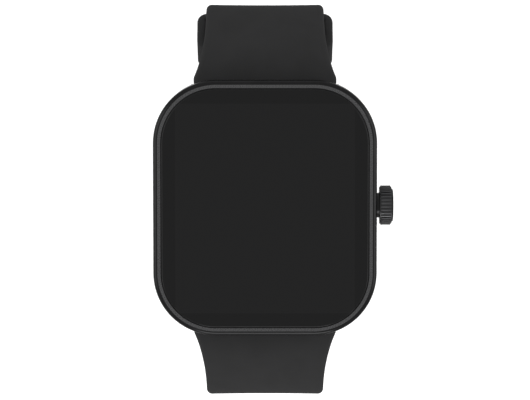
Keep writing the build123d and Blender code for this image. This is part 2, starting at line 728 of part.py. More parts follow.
def make_strap(side, path):
    """One strap with its flared shoulder, spring bar bore and lever slot."""
    profile = strap_profile(side, path)
    with BuildPart() as flare:
        extrude(profile, amount=SHOULDER_W / 2, both=True)
        with BuildSketch(Plane.XY.offset(BAR_Z + KNUCKLE_R)) as plan:
            with BuildLine():
                corner = (SHOULDER_W / 2, side * FLARE_Y)
                flare_end = (STRAP_W / 2, side * SHOULDER_END)
                Polyline((0, side * SHOULDER_Y), (SHOULDER_W / 2, side * SHOULDER_Y), corner)
                TangentArc(flare_end, corner, tangent=(0, -side))
                Line(flare_end, (0, side * SHOULDER_END))
                mirror(about=Plane.YZ)
            make_face()
        extrude(plan.sketch, amount=-FLARE_DEPTH, mode=Mode.INTERSECT)
    with BuildPart() as strap:
        extrude(profile, amount=STRAP_W / 2, both=True)
        add(flare.part)
        for x in (STRAP_W / 2, -SHOULDER_W / 2 - OVERCUT):
            width = (SHOULDER_W - STRAP_W) / 2 + OVERCUT
            disc(along_x(x, side * BAR_Y, BAR_Z), BARREL_R + LOOSE, width, mode=Mode.SUBTRACT)
        disc(along_x(-SHOULDER_W / 2, side * BAR_Y, BAR_Z), BAR_TUBE_R, SHOULDER_W, mode=Mode.SUBTRACT)
        slot_x = (LEVER_X - LEVER_TRAVEL - LEVER_SLOT_END, LEVER_X + LEVER_SLOT_END)
        slot_y = (side * BAR_Y - LEVER_SLOT_HALF, side * BAR_Y + LEVER_SLOT_HALF)
        block(slot_x, slot_y, (0, BAR_Z), mode=Mode.SUBTRACT)
    return strap


# ---------------------------------------------------------------- spring bars
BAR_BORE_R = 0.5
BAR_HALF = 10.8
BAR_END_WALL = 0.8
BAR_SLOT_END = 0.4
BAR_SLOT_HALF = 0.35
TIP_REACH = 12.9
PISTON_IN = LEVER_X - 1.8
LEVER_R = 0.3
KNOB_R = 0.75
KNOB_T = 0.5
KNOB_Z = 1.3
SPRING_TURNS = 12
COIL_R = 0.33
WIRE_R = 0.09
SPRING_GAP = 0.2        # between the spring and what it pushes on

for name, side in SIDES.items():
    bar_y = side * BAR_Y
    with BuildPart() as bar_tube:
        disc(along_x(-BAR_HALF, bar_y, BAR_Z), BAR_TUBE_R, 2 * BAR_HALF)
        disc(along_x(-TIP_REACH, bar_y, BAR_Z), TIP_R, TIP_REACH - BAR_HALF)
        disc(along_x(-BAR_HALF + BAR_END_WALL, bar_y, BAR_Z), BAR_BORE_R, 2 * BAR_HALF, mode=Mode.SUBTRACT)
        slot_x = (LEVER_X - LEVER_TRAVEL - BAR_SLOT_END, LEVER_X + BAR_SLOT_END)
        slot_y = (bar_y - BAR_SLOT_HALF, bar_y + BAR_SLOT_HALF)
        block(slot_x, slot_y, (0, BAR_Z), mode=Mode.SUBTRACT)
    save(bar_tube, f"{name}_bar_tube")

    with BuildPart() as release_tip:
        disc(along_x(PISTON_IN, bar_y, BAR_Z), BAR_BORE_R - FIT, BAR_HALF - PISTON_IN)
        disc(along_x(BAR_HALF, bar_y, BAR_Z), TIP_R, TIP_REACH - BAR_HALF)
        disc(Plane(origin=(LEVER_X, bar_y, KNOB_Z)), LEVER_R, BAR_Z - KNOB_Z)
        disc(Plane(origin=(LEVER_X, bar_y, KNOB_Z)), KNOB_R, KNOB_T)
    save(release_tip, f"{name}_release_tip")

    with BuildPart() as bar_spring:
        coil_x = -BAR_HALF + BAR_END_WALL + SPRING_GAP
        coil_l = PISTON_IN - coil_x - SPRING_GAP
        with BuildLine() as coil:
            Helix(coil_l / SPRING_TURNS, coil_l, COIL_R, center=(coil_x, bar_y, BAR_Z), direction=(1, 0, 0))
        with BuildSketch(Plane(coil.line @ 0, z_dir=coil.line % 0)):
            Circle(WIRE_R)
        sweep()
    save(bar_spring, f"{name}_bar_spring")


# ---------------------------------------------------------------- straps
END_SLOT_HALF = 1.5
END_SLOT_R = 3.4
TONGUE_POLAR = 6.7
TONGUE_HOLE_L = 6.8
HOLES_EACH_WAY = 4
PIN_Y, PIN_Z = loop_point(PIN_POLAR)

upper_strap = make_strap(1, upper_path)
with upper_strap:
    disc(along_x(-STRAP_W / 2, PIN_Y, PIN_Z), HALF_T, STRAP_W)
    disc(along_x(-END_SLOT_HALF, PIN_Y, PIN_Z), END_SLOT_R, 2 * END_SLOT_HALF, mode=Mode.SUBTRACT)
    disc(along_x(-STRAP_W / 2, PIN_Y, PIN_Z), PIN_R, STRAP_W, mode=Mode.SUBTRACT)
save(upper_strap, "upper_strap")

lower_strap = make_strap(-1, lower_path)
with lower_strap:
    for step in range(-HOLES_EACH_WAY, HOLES_EACH_WAY + 1):
        length = HOLE_L if step else TONGUE_HOLE_L
        with BuildSketch(radial_plane(TONGUE_POLAR + step * HOLE_PITCH, LOOP_R + LAYER / 2)) as hole:
            SlotOverall(length, HOLE_W)
        extrude(hole.sketch, amount=LAYER, both=True, mode=Mode.SUBTRACT)
save(lower_strap, "lower_strap")


# ---------------------------------------------------------------- buckle and keepers
ARM_IN = STRAP_W / 2 + 0.3
ARM_T = 1.9
ARM_R = 1.35
FAR_R = 1.1
FAR_RADIUS = LOOP_R + HALF_T + LOOSE + FAR_R
TONGUE_T = 0.9
TONGUE_W = 1.9
TONGUE_R = 1.2
TONGUE_RADIUS = FAR_RADIUS + FAR_R + TONGUE_T / 2 + FIT
TONGUE_BEND_POLAR = -1.5
TONGUE_END_POLAR = FRAME_POLAR - 2.5
KEEPER_W = 27.0
KEEPER_GAP = 0.7
KEEPER_WALL = 1.2
KEEPER_CORNER = 1.9
KEEPER_INNER_CORNER = 0.5
FIXED_HALF = 5.2        # half a keeper's length along the strap, degrees of polar angle
FREE_HALF = 6.2

with BuildPart() as buckle_pin:
    disc(along_x(-ARM_IN - ARM_T, PIN_Y, PIN_Z), PIN_R, 2 * (ARM_IN + ARM_T))
save(buckle_pin, "buckle_pin")

with BuildPart() as buckle_frame:
    for x in (ARM_IN, -ARM_IN - ARM_T):
        with BuildSketch(along_x(x)):
            with Locations((PIN_Y, PIN_Z)):
                Circle(ARM_R)
            with Locations(loop_point(FRAME_POLAR, FAR_RADIUS)):
                Circle(FAR_R)
            make_hull()
        extrude(amount=ARM_T)
    with BuildSketch(along_x(-ARM_IN)):
        with Locations(loop_point(FRAME_POLAR, FAR_RADIUS)):
            Circle(FAR_R)
    extrude(amount=2 * ARM_IN)
    disc(along_x(-ARM_IN - ARM_T, PIN_Y, PIN_Z), PIN_R + FIT, 2 * (ARM_IN + ARM_T), mode=Mode.SUBTRACT)
save(buckle_frame, "buckle_frame")

with BuildPart() as tongue:
    with BuildSketch(along_x(-TONGUE_W / 2)):
        with BuildLine():
            Polyline(
                (PIN_Y, PIN_Z),
                loop_point(TONGUE_BEND_POLAR, TONGUE_RADIUS),
                loop_point(TONGUE_END_POLAR, TONGUE_RADIUS),
            )
        trace(line_width=TONGUE_T)
        with Locations((PIN_Y, PIN_Z)):
            Circle(TONGUE_R)
            Circle(PIN_R + FIT, mode=Mode.SUBTRACT)
    extrude(amount=TONGUE_W)
save(tongue, "tongue")


def make_keeper(polar, half, inner_gap):
    """A band round both straps, turned about the middle of the loop."""
    low = LOOP_R - HALF_T - inner_gap
    high = LOOP_R + LAYER + HALF_T + LOOSE
    turn = radians(polar - half)
    middle = (0, (low + high) / 2)
    with BuildPart() as keeper:
        section = Plane(origin=(0, 0, LOOP_Z), x_dir=(1, 0, 0), z_dir=(0, cos(turn), sin(turn)))
        with BuildSketch(section):
            with Locations(middle):
                RectangleRounded(KEEPER_W, high - low + 2 * KEEPER_WALL, KEEPER_CORNER)
                inner_w = STRAP_W + 2 * KEEPER_GAP
                RectangleRounded(inner_w, high - low, KEEPER_INNER_CORNER, mode=Mode.SUBTRACT)
        revolve(axis=LOOP_AXIS, revolution_arc=2 * half)
    return keeper


save(make_keeper(FIXED_POLAR, FIXED_HALF, 0.0), "fixed_keeper")
save(make_keeper(FREE_POLAR, FREE_HALF, LOOSE), "free_keeper")
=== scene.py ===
import json
from math import acos, atan2, cos, pi, radians, sin, sqrt

import bmesh
import bpy
from mathutils import Matrix, Vector


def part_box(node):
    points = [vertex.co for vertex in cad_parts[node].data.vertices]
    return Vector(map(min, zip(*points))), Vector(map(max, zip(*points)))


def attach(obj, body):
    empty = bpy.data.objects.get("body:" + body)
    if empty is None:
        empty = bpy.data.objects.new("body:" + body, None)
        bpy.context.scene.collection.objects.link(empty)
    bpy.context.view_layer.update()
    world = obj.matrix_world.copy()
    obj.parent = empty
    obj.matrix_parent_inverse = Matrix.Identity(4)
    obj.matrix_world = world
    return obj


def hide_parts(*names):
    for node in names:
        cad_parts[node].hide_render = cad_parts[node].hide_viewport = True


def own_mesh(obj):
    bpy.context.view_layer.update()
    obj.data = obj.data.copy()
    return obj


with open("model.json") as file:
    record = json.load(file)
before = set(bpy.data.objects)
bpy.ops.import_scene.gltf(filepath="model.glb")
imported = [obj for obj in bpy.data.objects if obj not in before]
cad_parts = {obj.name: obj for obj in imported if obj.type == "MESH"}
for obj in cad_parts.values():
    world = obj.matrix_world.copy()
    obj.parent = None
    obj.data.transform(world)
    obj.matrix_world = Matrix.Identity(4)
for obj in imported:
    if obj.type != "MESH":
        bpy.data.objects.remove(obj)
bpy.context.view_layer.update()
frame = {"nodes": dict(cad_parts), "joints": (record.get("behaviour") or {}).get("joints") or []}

# The looks of a smartwatch on its buckled rubber strap. Everything is in metres, in the frame's
# own axes: +X to the crown, +Y to twelve o'clock, +Z out of the display.

MM = 0.001
JOINTS = {joint["name"]: joint for joint in frame["joints"]}


# ---------------------------------------------------------------- places taken from the frame
def joint_yz(name):
    """Where a joint's axis, which runs along X, crosses the middle plane."""
    return JOINTS[name]["pos_m"][1], JOINTS[name]["pos_m"][2]


BAR_Y, BAR_Z = joint_yz("upper_strap_hinge")
PIN_Y, PIN_Z = joint_yz("buckle_hinge")
LOOP_Z = joint_yz("keeper_slide")[1]
LOOP_R = sqrt(PIN_Y**2 + (PIN_Z - LOOP_Z) ** 2)
RING_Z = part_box("case_frame")[1].z

# the strap's shape
STRAP_HALF = 11.1 * MM
SHOULDER_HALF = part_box("upper_strap")[1].x
HALF_T = 1.2 * MM
LAYER = 2.65 * MM
KNUCKLE_R = 1.9 * MM
FLARE_R = 26.0 * MM
FLARE_END = 34.0 * MM
FLARE_START = 23.6 * MM
LEAVE = radians(12.0)
LEAVE_RUN = 5.0 * MM
BEND_R = 12.5 * MM
BEND = radians(80.0)
SIDE_RUN = 5.5 * MM
STEP_R = 12.0 * MM
FRAME_POLAR = radians(-4.0)
STEP_START = -FRAME_POLAR - radians(0.5)
PIN_POLAR = atan2(PIN_Y, LOOP_Z - PIN_Z)
TAIL_POLAR = radians(66.0)


# ---------------------------------------------------------------- meshes
SHARP_ANGLE = radians(38.0)


def new_object(name, verts, faces, material, body, node):
    """A smooth mesh piece that rides on a body and stands for a CAD node."""
    mesh = bpy.data.meshes.new(name)
    mesh.from_pydata(verts, [], faces)
    mesh.validate()
    piece = bpy.data.objects.new(name, mesh)
    bpy.context.scene.collection.objects.link(piece)
    fix_normals(mesh)
    mesh.materials.append(material)
    finish_shading(mesh)
    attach(piece, body)
    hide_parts(node)
    return piece


def fix_normals(mesh):
    """Turns every face outward."""
    shape = bmesh.new()
    shape.from_mesh(mesh)
    bmesh.ops.recalc_face_normals(shape, faces=shape.faces)
    shape.to_mesh(mesh)
    shape.free()


def finish_shading(mesh):
    """Smooth shading that stays sharp at creases."""
    mesh.shade_smooth()
    mesh.set_sharp_from_angle(angle=SHARP_ANGLE)


def loft(rings, closed=False):
    """Vertices and faces of a skin over equal rings of points, capped unless it is closed."""
    size = len(rings[0])
    verts = [point for ring in rings for point in ring]
    faces = []
    spans = len(rings) if closed else len(rings) - 1
    for i in range(spans):
        here = i * size
        there = (i + 1) % len(rings) * size
        for j in range(size):
            k = (j + 1) % size
            faces.append((here + j, here + k, there + k, there + j))
    if not closed:
        faces.append(tuple(range(size - 1, -1, -1)))
        faces.append(tuple(range(len(verts) - size, len(verts))))
    return verts, faces


def circle_x(middle, radius, facets):
    """Points round a circle whose axis runs along X."""
    turns = [2 * pi * k / facets for k in range(facets)]
    return [middle + Vector((0.0, cos(turn), sin(turn))) * radius for turn in turns]


def cut(piece, cutters):
    """Cuts closed meshes out of a piece and removes them."""
    for cutter in cutters:
        step = piece.modifiers.new("cut", "BOOLEAN")
        step.operation = "DIFFERENCE"
        step.solver = "EXACT"
        step.object = cutter
    bpy.context.view_layer.update()
    graph = bpy.context.evaluated_depsgraph_get()
    result = bpy.data.meshes.new_from_object(piece.evaluated_get(graph))
    piece.modifiers.clear()
    old = piece.data
    piece.data = result
    bpy.data.meshes.remove(old)
    for cutter in cutters:
        bpy.data.objects.remove(cutter)
    finish_shading(piece.data)


def cutter(verts, faces):
    """A closed mesh to be cut out of a piece."""
    mesh = bpy.data.meshes.new("cutter")
    mesh.from_pydata(verts, [], faces)
    fix_normals(mesh)
    tool = bpy.data.objects.new("cutter", mesh)
    bpy.context.scene.collection.objects.link(tool)
    return tool


# ---------------------------------------------------------------- the strap's side path
def on_loop(polar, radius):
    """A point in the side view at an angle from straight down, round the loop's centre."""
    return Vector((radius * sin(polar), LOOP_Z - radius * cos(polar)))


class Arc:
    """Part of a circle in the side view, between two angles, which run from +Y towards +Z."""

    def __init__(self, centre, radius, start, end):
        self.centre, self.radius, self.start, self.end = centre, radius, start, end
        self.length = abs(end - start) * radius

    def at(self, distance):
        way = 1 if self.end > self.start else -1
        angle = self.start + way * distance / self.radius
        point = self.centre + Vector((cos(angle), sin(angle))) * self.radius
        return point, Vector((-sin(angle), cos(angle))) * way


class Run:
    """A straight stretch in the side view."""

    def __init__(self, start, end):
        self.start, self.heading = start, (end - start).normalized()
        self.length = (end - start).length

    def at(self, distance):
        return self.start + self.heading * distance, self.heading


class Path:
    """Stretches joined end to end; distances before the start and past the end run on straight."""

    def __init__(self, parts):
        self.parts = parts
        self.length = sum(part.length for part in parts)

    def at(self, distance):
        """Point, heading and outward side at a distance from the spring bar."""
        left = max(distance, 0.0)
        for part in self.parts:
            if left <= part.length or part is self.parts[-1]:
                break
            left -= part.length
        over = max(left - part.length, 0.0) + min(distance, 0.0)
        point, heading = part.at(min(left, part.length))
        point = point + heading * over
        return point, heading, Vector((-heading.y, heading.x))


def strap_start():
    """Straight from the spring bar, the bend, and the straight side."""
    bar = Vector((BAR_Y, BAR_Z))
    down = LEAVE + BEND
    leave_end = bar + Vector((cos(LEAVE), -sin(LEAVE))) * LEAVE_RUN
    centre = leave_end - Vector((sin(LEAVE), cos(LEAVE))) * BEND_R
    bend = Arc(centre, BEND_R, pi / 2 - LEAVE, pi / 2 - down)
    bend_end = bend.at(bend.length)[0]
    side_end = bend_end + Vector((cos(down), -sin(down))) * SIDE_RUN
    return [Run(bar, leave_end), bend, Run(bend_end, side_end)], pi - down


def upper_path():
    """From the spring bar round the loop to the buckle's pin."""
    parts, top = strap_start()
    centre = Vector((0, LOOP_Z))
    parts.append(Arc(centre, LOOP_R, top - pi / 2, PIN_POLAR - pi / 2))
    return Path(parts)


def lower_path():
    """As the upper path, seen from its own side, then two equal bends up to the outer layer."""
    parts, top = strap_start()
    centre = Vector((0, LOOP_Z))
    far_r = LOOP_R + STEP_R
    near_r = LOOP_R + LAYER - STEP_R
    turn = acos((far_r**2 + near_r**2 - (2 * STEP_R) ** 2) / (2 * far_r * near_r))
    step_end = STEP_START - turn
    far = on_loop(STEP_START, far_r)
    near = on_loop(step_end, near_r)
    across = atan2(near.y - far.y, near.x - far.x)
    parts.append(Arc(centre, LOOP_R, top - pi / 2, STEP_START - pi / 2))
    parts.append(Arc(far, STEP_R, STEP_START + pi / 2, across))
    parts.append(Arc(near, STEP_R, across - pi, step_end - pi / 2))
    parts.append(Arc(centre, LOOP_R + LAYER, step_end - pi / 2, -TAIL_POLAR - pi / 2))
    return Path(parts)


# ---------------------------------------------------------------- strap meshes
EDGE_R = 1.0 * MM
CROWN_RISE = 0.10 * MM
CURL = 0.22 * MM
ACROSS = 14
CORNER_STEPS = 6
STATION = 0.8 * MM
THIN = 0.04 * MM
SHOULDER_START = 1.2 * MM
BARREL_CUT_R = 1.85 * MM
TAIL_CORNER = 6.5 * MM
TAIL_EDGE = 0.9 * MM
CORNER_SHARE = 0.98
KNUCKLE_STEPS = 8
NEAR_STATION = 0.4 * MM
NEAR_STATIONS = 13
END_STEPS = 6
SHOULDER_STEP = 0.02 * MM
CURL_START = 3 * MM
CURL_RUN = 8 * MM


def section(half_w, half_t, curl):
    """Closed cross-section of the strap as (x, v) pairs; v is positive on the outer face."""
    corner = min(EDGE_R, half_t * CORNER_SHARE)
    points = []
    for face in (1, -1):
        for step in range(ACROSS + 1):
            x = face * (half_w - corner) * (1 - 2 * step / ACROSS)
            points.append((x, face * half_t))
        for edge in (1, -1):
            for step in range(1, CORNER_STEPS):
                turn = pi / 2 * step / CORNER_STEPS
                along, up = (sin(turn), cos(turn)) if edge == 1 else (cos(turn), sin(turn))
                x = -face * (half_w - corner + corner * along)
                points.append((x, face * edge * (half_t - corner + corner * up)))
    bent = []
    for x, v in points:
        across = (x / half_w) ** 2
        rise = CROWN_RISE * (1 - across) if v > 0 else 0.0
        bent.append((x, v + rise + curl * across))
    return bent


def flare_half(y):
    """Half width of the shoulder at a distance from the middle of the case."""
    if y >= FLARE_END:
        return STRAP_HALF
    drop = FLARE_END - max(y, FLARE_START)
    return min(SHOULDER_HALF, STRAP_HALF + FLARE_R - sqrt(FLARE_R**2 - drop**2))


def rounded_in(distance, radius):
    """How far a rounded corner draws an edge in, at a distance from its end."""
    if distance >= radius:
        return 0.0
    return radius - sqrt(max(radius**2 - (radius - distance) ** 2, 0.0))


def strap_stations(end):
    """Distances along a strap, close together round its knuckle."""
    nose = [-KNUCKLE_R * cos(pi / 2 * k / KNUCKLE_STEPS) for k in range(KNUCKLE_STEPS)]
    near = [NEAR_STATION * k for k in range(NEAR_STATIONS)]
    count = int((end - near[-1]) / STATION)
    rest = [near[-1] + (end - near[-1]) * k / count for k in range(1, count + 1)]
    return nose + near + rest


def strap_thickness(distance, length, tail):
    """Half the strap's thickness: round at its knuckle, thin at its end."""
    flat_from = sqrt(KNUCKLE_R**2 - HALF_T**2)
    if distance < flat_from:
        return sqrt(max(KNUCKLE_R**2 - distance**2, THIN**2))
    if tail:
        return max(HALF_T - rounded_in(length - distance, TAIL_EDGE), THIN)
    return max(sqrt(max(HALF_T**2 - max(distance - length, 0.0) ** 2, 0.0)), THIN)


def strap_width(distance, y, length, bend_end, tail):
    """Half the strap's width, with its flared shoulder and the round corners of its tail."""
    if distance < SHOULDER_START:
        return STRAP_HALF
    if distance > bend_end:
        return STRAP_HALF - (rounded_in(length - distance, TAIL_CORNER) if tail else 0.0)
    return max(STRAP_HALF, flare_half(y))


def make_strap_mesh(path, side, tail):
    """Skin of one strap: knuckle, flared shoulder, plain band with rounded edges, and its end."""
    bend_end = path.parts[0].length + path.parts[1].length
    end = path.length if tail else path.length + HALF_T
    stations = strap_stations(end)
    if tail:
        stations += [end - TAIL_EDGE * (1 - sin(pi / 2 * k / END_STEPS)) for k in range(END_STEPS)]
    else:
        turns = [pi / 2 * k / END_STEPS for k in range(1, END_STEPS)]
        stations += [path.length + HALF_T * sin(turn) for turn in turns]
    stations += [SHOULDER_START - SHOULDER_STEP, SHOULDER_START]
    rings = []
    for distance in sorted(set(stations)):
        point, _, out = path.at(distance)
        half_t = strap_thickness(distance, path.length, tail)
        half_w = strap_width(distance, point.x, path.length, bend_end, tail)
        curl = CURL * min(max((distance - CURL_START) / CURL_RUN, 0.0), 1.0)
        ring = []
        for x, v in section(half_w, half_t, curl):
            ring.append(Vector((x, side * (point.x + out.x * v), point.y + out.y * v)))
        rings.append(ring)
    return loft(rings)


# ---------------------------------------------------------------- cuts through the straps
MOUTH = 0.3 * MM
MOUTH_STEPS = 4
BAR_TUBE_R = 0.9 * MM
PIN_BORE_R = 0.8 * MM
SLOT_POINTS = 28
DRUM_FACETS = 48
LEVER_SLOT_X = (3.7 * MM, 7.3 * MM)
LEVER_SLOT_Y = 0.95 * MM
END_SLOT_X = 1.5 * MM
END_SLOT_R = 3.4 * MM
HOLE_HALF_W = 1.1 * MM
HOLE_HALF_L = 1.6 * MM
TONGUE_HOLE_HALF_L = 3.65 * MM
TONGUE_POLAR = radians(6.7)
HOLE_PITCH = radians(11.0)
HOLES_EACH_WAY = 4
HALVINGS = 30


def distance_at(path, polar):
    """How far along a strap a direction from the loop's centre is, by halving."""
    low, high = 0.0, path.length
    for _ in range(HALVINGS):
        middle = (low + high) / 2
        point = path.at(middle)[0]
        if atan2(point.x, LOOP_Z - point.y) > polar:
            low = middle
        else:
            high = middle
    return low


def round_place(polar):
    """Point, heading and outward side midway between the two layers of the loop."""
    heading = Vector((cos(polar), sin(polar)))
    return on_loop(polar, LOOP_R + LAYER / 2), heading, Vector((heading.y, -heading.x))


def mouth_levels():
    """Heights through the strap and how much wider a slot is there, with rims rounded."""
    levels = []
    for step in range(MOUTH_STEPS + 1):
        turn = pi / 2 * step / MOUTH_STEPS
        levels.append((HALF_T + CROWN_RISE - MOUTH * sin(turn), MOUTH * (1 - cos(turn)) - MOUTH))
    rim = [(v, -grow) for v, grow in levels]
    outside = [(2 * HALF_T, MOUTH)] + rim
    return outside + [(-v, grow) for v, grow in reversed(outside)]


def slot_cutter(place, side, half_l, levels):
    """A rounded slot through the strap at a place on its path, long the way the strap runs."""
    point, heading, out = place
    rings = []
    for v, grow in levels:
        ring = []
        for k in range(SLOT_POINTS):
            turn = 2 * pi * (k + 0.5) / SLOT_POINTS
            end = (half_l - HOLE_HALF_W) * (1 if cos(turn) > 0 else -1)
            spot = point + heading * (end + (HOLE_HALF_W + grow) * cos(turn)) + out * v
            ring.append(Vector(((HOLE_HALF_W + grow) * sin(turn), side * spot.x, spot.y)))
        rings.append(ring)
    return cutter(*loft(rings))


def box_cutter(low, high):
    """A box along the axes."""
    base = ((low.x, low.y), (high.x, low.y), (high.x, high.y), (low.x, high.y))
    return cutter(*loft([[Vector((x, y, z)) for x, y in base] for z in (low.z, high.z)]))


def drum_cutter(y, z, radius, start, end):
    """A cylinder along X."""
    ends = [circle_x(Vector((x, y, z)), radius, DRUM_FACETS) for x in (start, end)]
    return cutter(*loft(ends))


def lever_slot(side):
    """The opening on the wrist side that the quick-release lever slides in."""
    low = Vector((LEVER_SLOT_X[0], side * BAR_Y - LEVER_SLOT_Y, BAR_Z - 2 * KNUCKLE_R))
    high = Vector((LEVER_SLOT_X[1], side * BAR_Y + LEVER_SLOT_Y, BAR_Z))
    return box_cutter(low, high)


def bar_cutters(side):
    """Cuts both straps share: the lever's slot, the bar's bore and room for the case's barrels."""
    y = side * BAR_Y
    outside = SHOULDER_HALF + MM
    return [
        lever_slot(side),
        drum_cutter(y, BAR_Z, BAR_TUBE_R, -outside, outside),
        drum_cutter(y, BAR_Z, BARREL_CUT_R, STRAP_HALF, outside),
        drum_cutter(y, BAR_Z, BARREL_CUT_R, -outside, -STRAP_HALF),
    ]


def make_straps(material):
    """Both straps, with their bores, slots and holes."""
    upper_mesh = make_strap_mesh(upper_path(), 1, False)
    upper = new_object("upper_strap_rubber", *upper_mesh, material, "upper_strap", "upper_strap")
    pin_bore = drum_cutter(PIN_Y, PIN_Z, PIN_BORE_R, -SHOULDER_HALF, SHOULDER_HALF)
    tongue_slot = drum_cutter(PIN_Y, PIN_Z, END_SLOT_R, -END_SLOT_X, END_SLOT_X)
    cut(upper, bar_cutters(1) + [pin_bore, tongue_slot])
    path = lower_path()
    lower_mesh = make_strap_mesh(path, -1, True)
    lower = new_object("lower_strap_rubber", *lower_mesh, material, "lower_strap", "lower_strap")
    tools = bar_cutters(-1)
    for k in range(-HOLES_EACH_WAY, HOLES_EACH_WAY + 1):
        polar = -(TONGUE_POLAR + k * HOLE_PITCH)
        if k:
            place = path.at(distance_at(path, polar))
            tools.append(slot_cutter(place, -1, HOLE_HALF_L, mouth_levels()))
        else:
            straight = ((2 * HALF_T, 0.0), (-2 * HALF_T, 0.0))
            tools.append(slot_cutter(round_place(polar), -1, TONGUE_HOLE_HALF_L, straight))
    cut(lower, tools)


# ---------------------------------------------------------------- keeper bands
KEEPER_HALF_W = 13.5 * MM
KEEPER_WALL = 1.2 * MM
KEEPER_SIDE = 1.7 * MM
KEEPER_CORNER = 1.9 * MM
KEEPER_EDGE = 0.45 * MM
KEEPER_GAP = 0.25 * MM
KEEPER_FACET = 1.5 * MM
KEEPER_EDGE_STEPS = 4
KEEPER_CORNER_STEPS = 7
FIXED_POLAR = radians(31.0)
FIXED_HALF = radians(5.2)
FREE_POLAR = radians(54.0)
FREE_HALF = radians(6.2)


def rounded_rectangle(half_w, half_h, radius, steps):
    """Closed outline as (point, outward normal) pairs, with points along its straight sides too."""
    corners = []
    for quarter, (across, up) in enumerate(((1, 1), (-1, 1), (-1, -1), (1, -1))):
        middle = Vector((across * (half_w - radius), up * (half_h - radius)))
        for step in range(steps + 1):
            turn = pi / 2 * (quarter + step / steps)
            normal = Vector((cos(turn), sin(turn)))
            corners.append((middle + normal * radius, normal))
    outline = []
    for (here, normal), (there, _) in zip(corners, corners[1:] + corners[:1]):
        pieces = max(1, int((there - here).length / KEEPER_FACET))
        outline += [(here.lerp(there, k / pieces), normal) for k in range(pieces)]
    return outline


def make_keeper(name, body, polar, half, gap, material):
    """A band round the strap's two layers; gap is its play under the inner layer."""
    low = LOOP_R - HALF_T - gap
    high = LOOP_R + LAYER + HALF_T + KEEPER_GAP
    half_h = (high - low) / 2 + KEEPER_WALL
    band = rounded_rectangle(half * LOOP_R, KEEPER_WALL / 2, KEEPER_EDGE, KEEPER_EDGE_STEPS)
    loop = rounded_rectangle(KEEPER_HALF_W, half_h, KEEPER_CORNER, KEEPER_CORNER_STEPS)
    rings = []
    for spot, normal in loop:
        wall = KEEPER_WALL + (KEEPER_SIDE - KEEPER_WALL) * normal.x**2
        ring = []
        for place, _ in band:
            inset = spot - normal * wall * (0.5 - place.y / KEEPER_WALL)
            angle = polar + place.x / LOOP_R
            radius = (low + high) / 2 + inset.y
            ring.append(Vector((inset.x, radius * sin(angle), LOOP_Z - radius * cos(angle))))
        rings.append(ring)
    new_object(name + "_rubber", *loft(rings, closed=True), material, body, name)


# ---------------------------------------------------------------- springs and dome
SPRING_TURNS = 12
SPRING_WIRE_R = 0.09 * MM
TURN_FACETS = 16
WIRE_FACETS = 8
DOME_FACETS = 48
DOME_RINGS = 8


def press_flat(piece):
    """Gives a piece its own copy of its mesh."""
    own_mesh(piece)


def make_bar_spring(side_name, material):
    """The coil in a spring bar."""
    node = side_name + "_bar_spring"
    low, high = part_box(node)
    middle = (low + high) / 2
    radius = (high.z - low.z) / 2 - SPRING_WIRE_R
    steps = SPRING_TURNS * TURN_FACETS
    run = high.x - low.x - 2 * SPRING_WIRE_R
    rings = []
    for step in range(steps + 1):
        turn = 2 * pi * step / TURN_FACETS
        out = Vector((0.0, cos(turn), sin(turn)))
        heading = Vector((run / (2 * pi * SPRING_TURNS), -radius * sin(turn), radius * cos(turn)))
        beside = heading.normalized().cross(out)
        x = low.x + SPRING_WIRE_R + run * step / steps
        spot = Vector((x, middle.y, middle.z)) + out * radius
        angles = [2 * pi * k / WIRE_FACETS for k in range(WIRE_FACETS)]
        sides = [out * cos(angle) + beside * sin(angle) for angle in angles]
        rings.append([spot + side * SPRING_WIRE_R for side in sides])
    coil = new_object(node + "_coil", *loft(rings), material, side_name + "_strap", node)
    press_flat(coil)


def make_dome(material):
    """The snap dome under the crown, a low cap."""
    low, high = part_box("switch_dome")
    middle = (low + high) / 2
    height = high.x - low.x
    base_r = (high.z - low.z) / 2
    dome_r = (height**2 + base_r**2) / (2 * height)
    half_angle = atan2(base_r, dome_r - height)
    rings = []
    for step in range(DOME_RINGS):
        angle = half_angle * (1 - step / DOME_RINGS)
        x = low.x + height - dome_r * (1 - cos(angle))
        rings.append(circle_x(Vector((x, middle.y, middle.z)), dome_r * sin(angle), DOME_FACETS))
    dome = new_object("switch_dome_cap", *loft(rings), material, "case", "switch_dome")
    press_flat(dome)


# ---------------------------------------------------------------- materials
PANEL_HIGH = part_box("display_panel")[1]
VIEW_BORDER = 0.8 * MM
VIEW_HALF_W = PANEL_HIGH.x - VIEW_BORDER
VIEW_HALF_L = PANEL_HIGH.y - VIEW_BORDER
VIEW_FADE = 0.1 * MM
SENSOR_EYE_R = 2.9 * MM
SENSOR_RING_IN = 5.1 * MM
SENSOR_RING_OUT = 8.6 * MM
SENSOR_FADE = 0.2 * MM
RING_DROP = 0.3 * MM
RING_FACING = (0.994, 0.999)
HEAD_LOW, HEAD_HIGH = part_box("crown_head")
CROWN_Y = (HEAD_LOW.y + HEAD_HIGH.y) / 2
CROWN_Z = (HEAD_LOW.z + HEAD_HIGH.z) / 2
CROWN_R = (HEAD_HIGH.z - HEAD_LOW.z) / 2
GROOVE_DEPTH = 0.45 * MM
TIP_DEPTH = 0.05 * MM

# the parts of a noise's values that patterns, smears and worn spots are made from
MIDDLE = (0.3, 0.7)
SMEARED = (0.35, 0.75)
WORN = (0.62, 0.72)
TWO_NOISES = (0.7, 1.3)
TRACK_EDGE = (0.05, 0.09)
FINE_SHARE = 6

